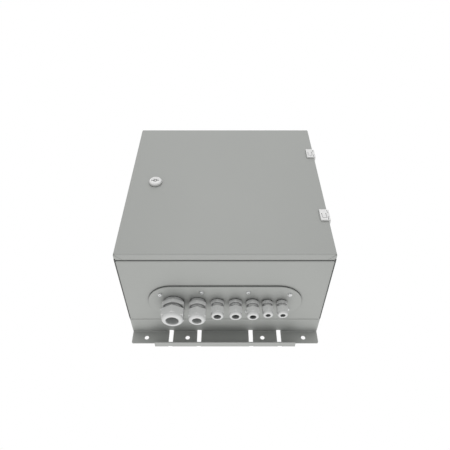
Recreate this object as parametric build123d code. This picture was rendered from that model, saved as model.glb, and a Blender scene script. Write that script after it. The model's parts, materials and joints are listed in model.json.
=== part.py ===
from build123d import *
import os
from math import cos, radians, sin

# Heated electrical enclosure for a wall, pole or mast, in millimetres.
# X runs to the right seen from the front, Z is up, and the door faces -Y.
# The origin is the centre of the wall bolt pattern, on the back face of the bracket flanges.

# Shell, folded from painted steel sheet
enclosure_width = 400.0
enclosure_height = 400.0
body_depth = 187.5
wall = 1.5
edge_radius = 3.0
rim_inset = 20.0
rim_reach = 9.0
rim_corner = 8.0

# Door, a shallow folded tray
door_inset = 0.8
door_gap = 3.3
door_skirt = 14.7
door_bend = 2.5
relief_radius = 2.1
mitre_start = 2.6
mitre_width = 0.4
mitre_depth = 0.3
seal_width = 12.0
seal_corner = 14.0

# Mounting brackets behind the body
bracket_sheet = 2.0
bracket_reach = 46.3
bracket_bend = 3.0
leg_height = 28.0
wing_height = 24.0
flange_inset = 1.3
flange_drop = 28.6
flange_corner = 3.5
lip_inset = 52.3
lip_drop = 36.9
lip_depth = 17.6
bend_relief = 1.0
outer_hole_inset = 32.0
inner_hole_x = 80.3
mount_hole_drop = 15.5
mount_hole_radius = 4.75
band_slot_xs = (55.4, 115.8)
band_slot_width = 9.0
band_slot_run = 4.8
lip_notch = 4.0
bracket_bolt_x = 60.0
bracket_bolt_inset = 50.0
bracket_bolt_height = 16.0
bracket_bolt_radius = 4.0
bolt_head_flats = 13.0
bolt_head_height = 5.3
bolt_nut_height = 6.5
bolt_washer_radius = 8.0
bolt_washer = 1.6

# Gland plate under the body
plate_lap = 22.25
plate_sheet = 2.0
plate_seal = 1.5
plate_centre = 137.7
cutout_end_gap = 3.4
cutout_side_gap = 1.46
plate_screw_x = 45.1
plate_screw_inset = 16.25
plate_end_screw_inset = 14.4
plate_end_screw_angle = 47.1
plate_screw_radius = 2.5
plate_screw_head = 3.7
plate_screw_head_height = 2.4
plate_screw_round = 1.1
plate_screw_socket = 1.6
plate_screw_flange = 4.4
plate_screw_flange_height = 0.8
rivet_nut_radius = 4.6
rivet_nut_height = 8.0

# Cable glands: x, thread radius, hex across flats, bore radius, neck, base hexagon, gap, drop under the plate
gland_list = (
    ("m32", -101.3, 16.0, 42.5, 12.5, 6.8, 8.6, 7.4, 44.2),
    ("m25", -53.9, 12.5, 33.0, 9.0, 6.2, 8.7, 7.8, 44.0),
    ("m20_a", -14.9, 10.0, 25.0, 7.0, 1.4, 7.3, 7.4, 34.8),
    ("m20_b", 20.5, 10.0, 25.0, 7.0, 1.4, 7.3, 7.4, 34.8),
    ("m20_c", 54.0, 10.0, 24.5, 6.2, 3.1, 7.6, 7.4, 35.5),
    ("m16_a", 83.4, 8.0, 20.5, 4.8, 2.0, 6.7, 5.5, 31.8),
    ("m16_b", 112.0, 8.0, 20.5, 4.8, 2.0, 6.7, 5.5, 31.8),
)
gland_washer = 1.0
gland_dome = 5.8
gland_lip = 3.2
gland_rim = 0.3
gland_crest = 2.3
gland_body_slack = 0.5
gland_seal_inset = 2.0
gland_stud_reach = 9.0
gland_nut_height = 5.0
neck_ratio = 0.47
round_ratio = 0.495
collar_ratio = 0.42
hex_chamfer_slope = 0.577

# Door lock, a quarter-turn cam lock
lock_inset = 55.0
lock_head_radius = 13.0
lock_head_height = 6.0
lock_head_bevel = 2.0
lock_seal = 0.8
lock_seal_inset = 1.5
lock_barrel_radius = 10.0
lock_recess_radius = 8.3
lock_recess_depth = 5.0
lock_plug_gap = 0.15
lock_plug_set_back = 0.3
lock_shaft_radius = 5.0
running_clearance = 0.05
lock_nut_flats = 27.0
lock_nut_height = 6.0
key_hole_radius = 4.6
key_hole_depth = 4.0
key_pin_radius = 1.7
key_slot_reach = 7.9
key_slot_width = 3.0
key_slot_depth = 1.4
cam_clearance = 1.0
cam_sheet = 3.0
cam_width = 18.0
cam_reach = 50.0
cam_square = 7.0
cam_screw_radius = 2.0
cam_screw_head = 5.0
cam_screw_height = 3.0
cam_screw_depth = 9.0
cam_tip_chamfer = 3.0

# Hinges
hinge_end_inset = 100.0
hinge_plate_width = 14.5
hinge_plate_length = 30.0
hinge_plate_height = 3.6
hinge_plate_bevel = 0.7
hinge_axis_in = 0.3
hinge_axis_front = 0.8
hinge_knuckle = 2.1
hinge_pin_radius = 1.2
hinge_middle = 11.0
hinge_slack = 0.3
hinge_leaf = 2.6
hinge_leaf_length = 28.0
hinge_leaf_inset = 13.0
hinge_notch_in = 3.5
hinge_notch_gap = 0.8
hinge_screw_spacing = 18.0
hinge_screw_radius = 2.0
hinge_screw_head = 3.4
hinge_screw_height = 2.4
hinge_screw_x = 8.0
hinge_groove_width = 9.4
hinge_groove_span = (-9.2, 3.6)
hinge_groove = 1.4
hinge_groove_depth = 1.2
screw_hole_slack = 0.2

# Inner mounting plate
panel_side_gap = 30.0
panel_end_gap = 25.0
panel_sheet = 2.0
panel_fold = 10.0
panel_standoff = 14.0
stud_side_inset = 15.0
stud_end_inset = 20.0
stud_radius = 4.0
stud_length = 28.0
stud_nut_flats = 13.0
stud_nut_height = 6.5
spacer_radius = 7.0

# Support rails
rail_end_inset = 20.0
rail_height = 35.0
rail_depth = 7.5
rail_sheet = 1.0
rail_web = 25.0
rail_zs = (95.0, -75.0)
rail_slot_length = 15.0
rail_slot_width = 6.2
rail_slot_pitch = 25.0
rail_slot_end = 25.0
rail_screw_radius = 2.5
rail_screw_head = 4.5
rail_screw_height = 3.0
claw_gap = 0.2
claw_thickness = 2.5

# Finned heater on the lower rail
heater_inset = 55.0
heater_length = 130.0
heater_core_width = 24.0
heater_depth = 52.0
heater_core_wall = 4.0
heater_fin = 2.0
heater_fin_reach = 20.0
heater_fin_count = 6
heater_cap = 9.0
heater_cap_lap = 2.0
heater_foot = 10.0
heater_element_slack = 0.3
heater_vents = 4
heater_vent_length = 14.0
heater_vent_width = 4.0
heater_vent_pitch = 10.4

# Temperature controller on the upper rail
controller_inset = 75.0
controller_width = 34.0
controller_height = 64.0
controller_depth = 38.0
controller_round = 2.0
controller_hole_radius = 2.0
controller_hole_inset = 8.0
controller_hole_depth = 5.0
controller_hole_pitch = 8.5
dial_radius = 12.0
dial_height = 6.0
dial_shaft_radius = 3.0
dial_shaft_length = 6.0
dial_gap = 0.3
dial_drop = 10.0
dial_flutes = 12
dial_flute_radius = 1.4
dial_flute_out = 0.6
dial_chamfer = 1.0
dial_mark_width = 1.2
dial_mark_depth = 0.8
dial_mark_start = 4.2

# Circuit breaker on the upper rail
breaker_inset = 130.0
breaker_width = 17.5
breaker_height = 82.0
breaker_depth = 44.0
breaker_nose_height = 45.0
breaker_nose_depth = 60.0
breaker_hole_radius = 2.6
breaker_hole_inset = 8.0
breaker_hole_depth = 10.0
lever_drum = 6.0
lever_width = 7.4
lever_slack = 0.3
lever_set_back = 2.0
lever_reach = 15.0
lever_thickness = 4.0
lever_rest_angle = 30.0
lever_round = 1.2

# Terminal row on the upper rail
terminal_inset = 180.0
terminal_pitch = 6.4
terminal_width = 6.2
terminal_count = 8
terminal_height = 44.0
terminal_depth = 40.0
terminal_entry = (4.0, 5.0, 12.0)
terminal_screw_radius = 1.8
terminal_screw_depth = 9.0
terminal_screw_z = 8.8
terminal_chamfer = 7.3
stop_width = 8.0
stop_height = 42.0
stop_depth = 28.0

# Earth studs
earth_stud_radius = 3.0
earth_stud_length = 16.0
earth_stud_end_inset = 50.0
earth_stud_depth = 60.0
door_stud_inset = 50.0

# Places that follow from the sizes above
half_width = enclosure_width / 2
half_height = enclosure_height / 2
body_back_y = -bracket_sheet - bracket_reach
body_front_y = body_back_y - body_depth
body_mid_y = (body_back_y + body_front_y) / 2
inner_back_y = body_back_y - wall
rim_front_y = body_front_y - rim_reach
door_back_y = body_front_y - door_gap
door_front_y = door_back_y - door_skirt
door_inner_y = door_front_y + wall
door_half_width = half_width - door_inset
door_half_height = half_height - door_inset
flange_width = enclosure_width - 2 * flange_inset
lip_width = enclosure_width - 2 * lip_inset
outer_hole_x = half_width - outer_hole_inset
bracket_bolt_xs = (bracket_bolt_x, half_width - bracket_bolt_inset)
rim_half_width = half_width - rim_inset
rim_half_height = half_height - rim_inset
plate_y = door_front_y + plate_centre
plate_face_z = -half_height - plate_seal - plate_sheet
nut_corners = [flats / 2 / cos(radians(30)) for name, x, thread, flats, *others in gland_list]
nut_reaches = [abs(gland[1]) + corner for gland, corner in zip(gland_list, nut_corners)]
cutout_length = 2 * (max(nut_reaches) + cutout_end_gap)
cutout_width = 2 * (max(nut_corners) + cutout_side_gap)
plate_length = cutout_length + 2 * plate_lap
plate_width = cutout_width + 2 * plate_lap
panel_width = enclosure_width - 2 * panel_side_gap
panel_height = enclosure_height - 2 * panel_end_gap
stud_x = panel_width / 2 - stud_side_inset
stud_z = panel_height / 2 - stud_end_inset
rail_length = panel_width - 2 * rail_end_inset
heater_x = -rail_length / 2 + heater_inset
controller_x = -rail_length / 2 + controller_inset
breaker_x = -rail_length / 2 + breaker_inset
terminal_x = -rail_length / 2 + terminal_inset
rail_slot_count = int((rail_length - 2 * rail_slot_end) / rail_slot_pitch) + 1
panel_back_y = inner_back_y - panel_standoff
panel_front_y = panel_back_y - panel_sheet
rail_front_y = panel_front_y - rail_depth
hinge_axis_x = half_width - hinge_axis_in
hinge_axis_y = door_front_y - hinge_axis_front
hinge_plate_edge = hinge_axis_x - hinge_knuckle - hinge_slack
lock_x = -half_width + lock_inset
cam_front_y = body_front_y + wall + cam_clearance
lock_face_y = door_front_y - lock_seal - lock_head_height
corner_signs = ((-1, -1), (-1, 1), (1, -1), (1, 1))
hinge_height = half_height - hinge_end_inset
hinge_zs = (hinge_height, -hinge_height)


def block(x0, x1, y0, y1, z0, z1):
    """A box between two corners."""
    centre = Pos((x0 + x1) / 2, (y0 + y1) / 2, (z0 + z1) / 2)
    return centre * Box(abs(x1 - x0), abs(y1 - y0), abs(z1 - z0))


def rod_x(radius, y, z, x0, x1):
    """A round bar along X."""
    return Pos((x0 + x1) / 2, y, z) * Rot(0, 90, 0) * Cylinder(radius, abs(x1 - x0))


def rod_y(radius, x, z, y0, y1):
    """A round bar along Y."""
    return Pos(x, (y0 + y1) / 2, z) * Rot(90, 0, 0) * Cylinder(radius, abs(y1 - y0))


def rod_z(radius, x, y, z0, z1):
    """A round bar along Z."""
    return Pos(x, y, (z0 + z1) / 2) * Cylinder(radius, abs(z1 - z0))


def hex_y(flats, x, z, y0, y1):
    """A hexagonal bar along Y."""
    outline = RegularPolygon(flats / 2, 6, major_radius=False)
    bar = extrude(outline, abs(y1 - y0))
    return Pos(x, max(y0, y1), z) * Rot(90, 0, 0) * bar


def hex_z(flats, x, y, z0, z1):
    """A hexagonal bar along Z with one corner towards the door."""
    outline = RegularPolygon(flats / 2, 6, major_radius=False, rotation=30)
    return Pos(x, y, min(z0, z1)) * extrude(outline, abs(z1 - z0))


def frame_ring(outer_x, outer_z, inner_x, inner_z, outer_corner, inner_corner, y0, y1):
    """A rectangular ring with round corners, standing in the XZ plane."""
    outline = RectangleRounded(2 * outer_x, 2 * outer_z, outer_corner)
    outline -= RectangleRounded(2 * inner_x, 2 * inner_z, inner_corner)
    return Pos(0, max(y0, y1), 0) * Rot(90, 0, 0) * extrude(outline, abs(y1 - y0))


def soft_box(size_x, size_y, size_z, radius):
    """A box with every edge rounded."""
    plain = Box(size_x, size_y, size_z)
    return fillet(plain.edges(), radius)


def tube(outer, inner):
    return outer - inner


def plate_screw_centres():
    places = []
    end_turn = radians(plate_end_screw_angle)
    end_reach = plate_width / 2 - plate_end_screw_inset
    end_place = ((plate_length - plate_width) / 2 + end_reach * cos(end_turn), end_reach * sin(end_turn))
    side_place = (plate_screw_x, plate_width / 2 - plate_screw_inset)
    for reach_x, reach_y in (end_place, side_place):
        for sign_x, sign_y in corner_signs:
            places.append((sign_x * reach_x, plate_y + sign_y * reach_y))
    return places


def bracket_bolt_centres():
    places = []
    for reach in bracket_bolt_xs:
        for sign_x, sign_z in corner_signs:
            places.append((sign_x * reach, sign_z * (half_height - bracket_bolt_height)))
    return places


def stud_centres():
    return [(sign_x * stud_x, sign_z * stud_z) for sign_x, sign_z in corner_signs]


def hinge_screw_centres(hinge_z):
    return (hinge_z - hinge_screw_spacing / 2, hinge_z + hinge_screw_spacing / 2)


# Enclosure body: five walls, a front return and an upstand rim, folded and welded
def make_enclosure_body():
    outside = soft_box(enclosure_width, body_depth, enclosure_height, edge_radius)
    inside = soft_box(
        enclosure_width - 2 * wall,
        body_depth - 2 * wall,
        enclosure_height - 2 * wall,
        edge_radius - wall,
    )
    shell = Pos(0, body_mid_y, 0) * (outside - inside)
    mouth = RectangleRounded(2 * rim_half_width, 2 * rim_half_height, rim_corner)
    mouth_cut = Rot(90, 0, 0) * extrude(mouth, 2 * wall, both=True)
    shell -= Pos(0, body_front_y + wall, 0) * mouth_cut
    shell += frame_ring(
        rim_half_width + wall,
        rim_half_height + wall,
        rim_half_width,
        rim_half_height,
        rim_corner + wall,
        rim_corner,
        rim_front_y,
        body_front_y + wall,
    )
    cutout = SlotOverall(cutout_length, cutout_width)
    shell -= Pos(0, plate_y, -half_height) * extrude(cutout, 2 * wall, both=True)
    for x, y in plate_screw_centres():
        hole = plate_screw_radius + screw_hole_slack
        shell -= rod_z(hole, x, y, -half_height - wall, -half_height + 2 * wall)
    for x, z in bracket_bolt_centres():
        hole = bracket_bolt_radius + screw_hole_slack
        shell -= rod_y(hole, x, z, inner_back_y - wall, body_back_y + wall)
    for hinge_z in hinge_zs:
        for z in hinge_screw_centres(hinge_z):
            hole = hinge_screw_radius + screw_hole_slack
            x = half_width - hinge_screw_x
            shell -= rod_y(hole, x, z, body_front_y - wall, body_front_y + 2 * wall)
    return shell


def make_gland_plate():
    outline = SlotOverall(plate_length, plate_width)
    sheet = Pos(0, plate_y, plate_face_z) * extrude(outline, plate_sheet)
    top = plate_face_z + 2 * plate_sheet
    bottom = plate_face_z - plate_sheet
    for x, y in plate_screw_centres():
        sheet -= rod_z(plate_screw_radius + screw_hole_slack, x, y, bottom, top)
    for name, x, thread, *sizes in gland_list:
        sheet -= rod_z(thread + screw_hole_slack, x, plate_y, bottom, top)
    return sheet


def make_gland_plate_seal():
    outline = SlotOverall(plate_length, plate_width)
    outline -= SlotOverall(cutout_length, cutout_width)
    sheet = Pos(0, plate_y, -half_height - plate_seal) * extrude(outline, plate_seal)
    for x, y in plate_screw_centres():
        hole = plate_screw_radius + screw_hole_slack
        sheet -= rod_z(hole, x, y, -half_height - 2 * plate_seal, -half_height + plate_seal)
    return sheet


def make_gland_plate_screws():
    """Dome-headed screws, each with its flange made in one with the head."""
    screws = []
    tip = -half_height + wall + rivet_nut_height
    for x, y in plate_screw_centres():
        seat = plate_face_z - plate_screw_flange_height
        head_base = seat - plate_screw_head_height
        head = rod_z(plate_screw_head, x, y, head_base, seat)
        head = fillet(head.edges().sort_by(Axis.Z)[0], plate_screw_round)
        head += rod_z(plate_screw_flange, x, y, seat, plate_face_z)
        head += rod_z(plate_screw_radius, x, y, plate_face_z, tip)
        socket = RegularPolygon(plate_screw_socket, 6, major_radius=False)
        head -= Pos(x, y, head_base) * extrude(socket, plate_screw_socket)
        screws.append(head)
    return screws


def make_gland_plate_nuts():
    nuts = []
    low = -half_height + wall
    for x, y in plate_screw_centres():
        barrel = rod_z(rivet_nut_radius, x, y, low, low + rivet_nut_height)
        hole = rod_z(plate_screw_radius, x, y, low - wall, low + 2 * rivet_nut_height)
        nuts.append(tube(barrel, hole))
    return nuts


# Mounting bracket: leg on the body's back, web, flange with slots, and a stiffening lip
def make_lower_bracket():
    half = bracket_sheet / 2
    turn = bracket_bend - half
    leg_y = body_back_y + half
    web_z = -half_height + half
    lip_z = -half_height - lip_drop + half
    lip_low = lip_z - half
    path = FilletPolyline(
        (leg_y, -half_height + leg_height),
        (leg_y, web_z),
        (-half, web_z),
        (-half, lip_z),
        (-lip_depth, lip_z),
        radius=turn,
    )
    section = trace(path, bracket_sheet)
    bracket = extrude(Plane.YZ * section, flange_width / 2, both=True)
    wing_path = FilletPolyline(
        (-half_width + half, -half_height + wing_height),
        (-half_width + half, web_z),
        (half_width - half, web_z),
        (half_width - half, -half_height + wing_height),
        radius=turn,
    )
    wing_front = body_back_y + bracket_bend + bend_relief
    wing_back = -bracket_bend - bend_relief
    for sign in (-1, 1):
        bracket -= block(
            sign * (half_width - bracket_bend),
            sign * half_width,
            wing_front - bend_relief,
            wing_back + bend_relief,
            -half_height - wall,
            -half_height + bracket_bend,
        )
        bracket -= block(
            sign * lip_width / 2,
            sign * half_width,
            -lip_depth - bend_relief,
            bend_relief,
            lip_low - bend_relief,
            -half_height - flange_drop,
        )
    wing_section = trace(wing_path, bracket_sheet)
    wings = extrude(Plane.XZ * wing_section, wing_back - wing_front)
    bracket += Pos(0, wing_back, 0) * wings
    for sign in (-1, 1):
        for reach in band_slot_xs:
            x = sign * reach
            bracket -= block(
                x - band_slot_width / 2,
                x + band_slot_width / 2,
                -bracket_sheet - band_slot_run,
                bend_relief,
                lip_low + bracket_bend,
                -half_height + bracket_bend,
            )
            bracket -= block(
                x - band_slot_width / 2,
                x + band_slot_width / 2,
                -lip_notch,
                bend_relief,
                lip_low - bend_relief,
                lip_low + 2 * bracket_bend,
            )
        for reach in (outer_hole_x, inner_hole_x):
            z = -half_height - mount_hole_drop
            bracket -= rod_y(mount_hole_radius, sign * reach, z, -2 * bracket_sheet, bracket_sheet)
        for reach in bracket_bolt_xs:
            z = -half_height + bracket_bolt_height
            hole = bracket_bolt_radius + screw_hole_slack
            bracket -= rod_y(hole, sign * reach, z, body_back_y - wall, body_back_y + 2 * bracket_sheet)
    corners = [
        edge
        for edge in bracket.edges().filter_by(Axis.Y)
        if abs(abs(edge.center().X) - flange_width / 2) < bend_relief
        and edge.center().Z < -half_height - flange_drop / 2
    ]
    return fillet(corners, flange_corner)


def make_bracket_bolts():
    bolts = []
    for x, z in bracket_bolt_centres():
        seat = inner_back_y - bolt_washer
        tip = body_back_y + bracket_sheet + bolt_nut_height + wall
        head = hex_y(bolt_head_flats, x, z, seat - bolt_head_height, seat)
        bolts.append(head + rod_y(bracket_bolt_radius, x, z, seat, tip))
    return bolts


def make_bracket_bolt_washers():
    rings = []
    for x, z in bracket_bolt_centres():
        disc = rod_y(bolt_washer_radius, x, z, inner_back_y - bolt_washer, inner_back_y)
        hole = rod_y(bracket_bolt_radius, x, z, inner_back_y - 2 * bolt_washer, body_back_y)
        rings.append(tube(disc, hole))
    return rings


def make_bracket_nuts():
    nuts = []
    seat = body_back_y + bracket_sheet
    for x, z in bracket_bolt_centres():
        body = hex_y(bolt_head_flats, x, z, seat, seat + bolt_nut_height)
        nuts.append(body - rod_y(bracket_bolt_radius, x, z, seat - wall, seat + 2 * bolt_nut_height))
    return nuts


# Cable gland: washer, hexagonal body with its neck and collar, rubber seal, domed cap and locknut
def turned(points):
    """A solid turned about Z from (radius, height) points, closed along the axis."""
    outline = make_face(Polyline((0, points[0][1]), *points, (0, points[-1][1]), close=True))
    return revolve(Plane.XZ * outline, Axis.Z)


def make_gland(x, thread, flats, bore, neck, hex_height, gap, drop):
    """Heights run down from the gland plate's lower face, at z = 0 until the gland is put in place."""
    corner = flats / 2 / cos(radians(30))
    edge = flats * round_ratio
    rise = (corner - edge) * hex_chamfer_slope
    collar = flats * collar_ratio
    base_low = -neck - hex_height
    cap_top = base_low - gap
    shoulder = -drop + gland_dome
    collar_end = -drop + gland_lip
    seal_top = cap_top - gland_seal_inset
    seal_radius = (bore + collar) / 2
    stud_top = plate_sheet + gland_stud_reach

    washer = rod_z(flats * neck_ratio, 0, 0, -gland_washer, 0)
    washer -= rod_z(thread, 0, 0, -2 * gland_washer, wall)

    base = turned(
        (
            (edge, base_low),
            (corner, base_low + rise),
            (corner, -neck - rise),
            (edge, -neck),
        )
    )
    base &= hex_z(flats, 0, 0, base_low, -neck)
    base += rod_z(flats * neck_ratio, 0, 0, -neck, -gland_washer)
    base += rod_z(thread, 0, 0, -gland_washer, stud_top)
    base += rod_z(collar, 0, 0, collar_end, base_low)
    base -= rod_z(bore + gland_body_slack, 0, 0, seal_top, stud_top + wall)
    base -= rod_z(seal_radius, 0, 0, collar_end - wall, seal_top)

    seal = rod_z(seal_radius, 0, 0, collar_end, seal_top)
    seal -= rod_z(bore, 0, 0, collar_end - wall, seal_top + wall)

    crest = bore + gland_crest
    with BuildSketch(Plane.XZ) as outline:
        with BuildLine():
            Line((0, -drop), (crest, -drop))
            Spline((crest, -drop), (edge, shoulder), tangents=((1, 0), (0, 1)))
            Line((edge, shoulder), (corner, shoulder + rise))
            Line((corner, shoulder + rise), (corner, cap_top))
            Line((corner, cap_top), (0, cap_top))
            Line((0, cap_top), (0, -drop))
        make_face()
    cap = revolve(outline.sketch, Axis.Z) & hex_z(flats, 0, 0, -drop, cap_top)
    cap -= rod_z(collar, 0, 0, collar_end, wall)
    cap -= rod_z(bore + gland_rim, 0, 0, -drop - wall, collar_end + wall)

    nut = hex_z(flats, 0, 0, plate_sheet, plate_sheet + gland_nut_height)
    nut -= rod_z(thread, 0, 0, 0, stud_top)
    pieces = {"body": base, "cap": cap, "seal": seal, "washer": washer, "locknut": nut}
    return {name: Pos(x, plate_y, plate_face_z) * piece for name, piece in pieces.items()}


# Door: a tray with four skirts, relieved at the corners
def make_door_panel():
    depth = door_skirt
    outer = Box(2 * door_half_width, depth, 2 * door_half_height)
    outer = fillet(outer.faces().sort_by(Axis.Y)[0].edges(), door_bend)
    inner = Box(2 * (door_half_width - wall), depth, 2 * (door_half_height - wall))
    inner = fillet(inner.faces().sort_by(Axis.Y)[0].edges(), door_bend - wall)
    tray = outer - Pos(0, wall, 0) * inner
    tray = Pos(0, door_front_y + depth / 2, 0) * tray
    for sign_x, sign_z in corner_signs:
        x = sign_x * (door_half_width - wall / 2)
        z = sign_z * (door_half_height - wall / 2)
        tray -= Pos(x, door_front_y + wall / 2, z) * Sphere(relief_radius)
    slope = mitre_start + door_skirt
    for sign_x, sign_z in corner_signs:
        groove = Box(2 * slope, mitre_width, 2 * mitre_depth)
        turn = Rot(0, 0, -45 * sign_x)
        x = sign_x * (door_half_width - mitre_start)
        groove = Pos(-sign_x * slope, 0, 0) * groove
        tray -= Pos(x, door_front_y + mitre_start, sign_z * door_half_height) * turn * groove
    tray -= rod_y(lock_barrel_radius, lock_x, 0, door_front_y - wall, door_inner_y + wall)
    for hinge_z in hinge_zs:
        notch = hinge_leaf_length / 2 + hinge_notch_gap
        tray -= block(
            half_width - hinge_notch_in,
            half_width,
            door_front_y - wall,
            door_back_y + wall,
            hinge_z - notch,
            hinge_z + notch,
        )
        for z in hinge_screw_centres(hinge_z):
            hole = hinge_screw_radius + screw_hole_slack
            x = half_width - hinge_screw_x
            tray -= rod_y(hole, x, z, door_front_y - wall, door_inner_y + wall)
    return tray


def make_door_seal():
    middle_x = rim_half_width + wall / 2
    middle_z = rim_half_height + wall / 2
    return frame_ring(
        middle_x + seal_width / 2,
        middle_z + seal_width / 2,
        middle_x - seal_width / 2,
        middle_z - seal_width / 2,
        seal_corner,
        seal_corner - seal_width / 2,
        door_inner_y,
        rim_front_y,
    )


# Hinges: a leaf on the door's face, a leaf that reaches it through the skirt's notch, and a pin
def make_hinge_door_leaf(hinge_z):
    low = hinge_z - hinge_plate_length / 2
    high = hinge_z + hinge_plate_length / 2
    face_y = door_front_y - hinge_plate_height
    left = hinge_plate_edge - hinge_plate_width
    plate = block(left, hinge_plate_edge, face_y, door_front_y, low, high)
    plate = fillet(plate.faces().sort_by(Axis.Y)[0].edges(), hinge_plate_bevel)
    knuckle_low = hinge_z - hinge_middle / 2
    knuckle_high = hinge_z + hinge_middle / 2
    strap_y = hinge_axis_y - hinge_knuckle
    plate += block(hinge_plate_edge - wall, hinge_axis_x, strap_y, door_front_y, knuckle_low, knuckle_high)
    plate += rod_z(hinge_knuckle, hinge_axis_x, hinge_axis_y, knuckle_low, knuckle_high)
    pin_hole = hinge_pin_radius + running_clearance
    plate -= rod_z(pin_hole, hinge_axis_x, hinge_axis_y, low, high)
    groove_low, groove_high = hinge_groove_span
    middle = (left + hinge_plate_edge) / 2 + hinge_slack
    reach = hinge_groove_width / 2
    floor_y = face_y + hinge_groove_depth
    groove = block(middle - reach, middle + reach, face_y - wall, floor_y, groove_low, groove_high)
    tongue = reach - hinge_groove
    groove -= block(
        middle - tongue,
        middle + tongue,
        face_y - 2 * wall,
        door_front_y,
        groove_low + hinge_groove,
        groove_high + wall,
    )
    plate -= Pos(0, 0, hinge_z) * groove
    for z in hinge_screw_centres(hinge_z):
        x = half_width - hinge_screw_x
        plate -= rod_y(hinge_screw_radius, x, z, face_y + wall, door_front_y)
    return plate


def make_hinge_body_leaf(hinge_z):
    low = hinge_z - hinge_leaf_length / 2
    high = hinge_z + hinge_leaf_length / 2
    inner_x = hinge_axis_x - hinge_knuckle
    outer_x = hinge_axis_x + hinge_knuckle
    front = body_front_y - hinge_leaf
    leaf = block(half_width - hinge_leaf_inset, outer_x, front, body_front_y, low, high)
    gap = hinge_middle / 2 + hinge_slack
    for arm_low, arm_high in ((low, hinge_z - gap), (hinge_z + gap, high)):
        leaf += block(inner_x, outer_x, hinge_axis_y, body_front_y, arm_low, arm_high)
        leaf += rod_z(hinge_knuckle, hinge_axis_x, hinge_axis_y, arm_low, arm_high)
    leaf -= rod_z(hinge_pin_radius, hinge_axis_x, hinge_axis_y, low - wall, high + wall)
    for z in hinge_screw_centres(hinge_z):
        x = half_width - hinge_screw_x
        leaf -= rod_y(hinge_screw_radius, x, z, front - wall, body_front_y + wall)
    return leaf


def make_hinge_pins():
    reach = hinge_leaf_length / 2
    return [
        rod_z(hinge_pin_radius, hinge_axis_x, hinge_axis_y, hinge_z - reach, hinge_z + reach)
        for hinge_z in hinge_zs
    ]


def make_door_hinge_screws():
    screws = []
    x = half_width - hinge_screw_x
    tip = door_front_y - hinge_plate_height + wall
    for hinge_z in hinge_zs:
        for z in hinge_screw_centres(hinge_z):
            head = rod_y(hinge_screw_head, x, z, door_inner_y, door_inner_y + hinge_screw_height)
            screws.append(head + rod_y(hinge_screw_radius, x, z, tip, door_inner_y))
    return screws


def make_body_hinge_screws():
    screws = []
    x = half_width - hinge_screw_x
    seat = body_front_y + wall
    for hinge_z in hinge_zs:
        for z in hinge_screw_centres(hinge_z):
            head = rod_y(hinge_screw_head, x, z, seat, seat + hinge_screw_height)
            screws.append(head + rod_y(hinge_screw_radius, x, z, body_front_y - hinge_leaf, seat))
    return screws


# Lock: housing, seal, nut, turning insert, cam and screw
def make_lock_housing():
    head = rod_y(lock_head_radius, lock_x, 0, lock_face_y, lock_face_y + lock_head_height)
    head = chamfer(head.edges().sort_by(Axis.Y)[0], lock_head_bevel)
    barrel_end = cam_front_y - hinge_slack
    head += rod_y(lock_barrel_radius, lock_x, 0, lock_face_y + lock_head_height, barrel_end)
    head -= rod_y(lock_recess_radius, lock_x, 0, lock_face_y - wall, lock_face_y + lock_recess_depth)
    bore = lock_shaft_radius + running_clearance
    return head - rod_y(bore, lock_x, 0, lock_face_y, barrel_end + wall)


def make_lock_seal():
    disc = rod_y(lock_head_radius - lock_seal_inset, lock_x, 0, door_front_y - lock_seal, door_front_y)
    hole = rod_y(lock_barrel_radius, lock_x, 0, door_front_y - wall, door_front_y + wall)
    return tube(disc, hole)


def make_lock_nut():
    body = hex_y(lock_nut_flats, lock_x, 0, door_inner_y, door_inner_y + lock_nut_height)
    hole = rod_y(lock_barrel_radius, lock_x, 0, door_front_y, door_inner_y + 2 * lock_nut_height)
    return tube(body, hole)


def make_lock_insert():
    floor_y = lock_face_y + lock_recess_depth
    plug_y = lock_face_y + lock_plug_set_back
    key_floor_y = plug_y + key_hole_depth
    cam_back = cam_front_y + cam_sheet
    half = cam_square / 2
    core = rod_y(lock_shaft_radius, lock_x, 0, floor_y, cam_front_y)
    core += block(lock_x - half, lock_x + half, cam_front_y, cam_back, -half, half)
    core += rod_y(lock_recess_radius - lock_plug_gap, lock_x, 0, plug_y, floor_y)
    core -= rod_y(key_hole_radius, lock_x, 0, plug_y - wall, key_floor_y)
    reach = key_slot_reach
    web = key_slot_width / 2
    core -= block(lock_x - reach, lock_x + reach, plug_y - wall, plug_y + key_slot_depth, -web, web)
    core += rod_y(key_pin_radius, lock_x, 0, plug_y, key_floor_y)
    screw_depth = cam_back - cam_screw_depth
    return core - rod_y(cam_screw_radius, lock_x, 0, screw_depth, cam_back + wall)


def make_lock_cam():
    cam_back = cam_front_y + cam_sheet
    half = cam_width / 2
    arm = block(lock_x - half, lock_x + half, cam_front_y, cam_back, 0, -cam_reach)
    arm += rod_y(half, lock_x, 0, cam_front_y, cam_back)
    side = cam_square / 2
    arm -= block(lock_x - side, lock_x + side, cam_front_y - wall, cam_back + wall, -side, side)
    tip = arm.edges().filter_by(Axis.Y).sort_by(Axis.Z)[:2]
    return chamfer(tip, cam_tip_chamfer)


def make_cam_screw():
    cam_back = cam_front_y + cam_sheet
    screw = rod_y(cam_screw_head, lock_x, 0, cam_back, cam_back + cam_screw_height)
    return screw + rod_y(cam_screw_radius, lock_x, 0, cam_back - cam_screw_depth, cam_back)


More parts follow.
